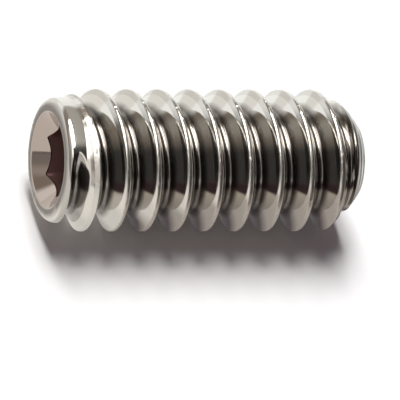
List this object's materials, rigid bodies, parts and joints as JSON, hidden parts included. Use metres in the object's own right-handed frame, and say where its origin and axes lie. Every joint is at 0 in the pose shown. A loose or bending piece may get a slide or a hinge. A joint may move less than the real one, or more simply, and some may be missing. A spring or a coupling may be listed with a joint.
{
  "type": "set screw",
  "caption": "Headless socket set screw, threaded over its whole length, with a hex socket in one end and a cup point at the other.",
  "frame": {"origin": "middle of the point's rim, on the screw's axis", "axes": "+Z along the axis from the point to the socket, +X towards the top of the picture"},
  "size_m": [0.0034, 0.0034, 0.0079],
  "materials": {
    "stainless": "bright, lightly rolled"
  },
  "bodies": {
    "root": {"set_screw": "stainless"}
  },
  "joints": []
}
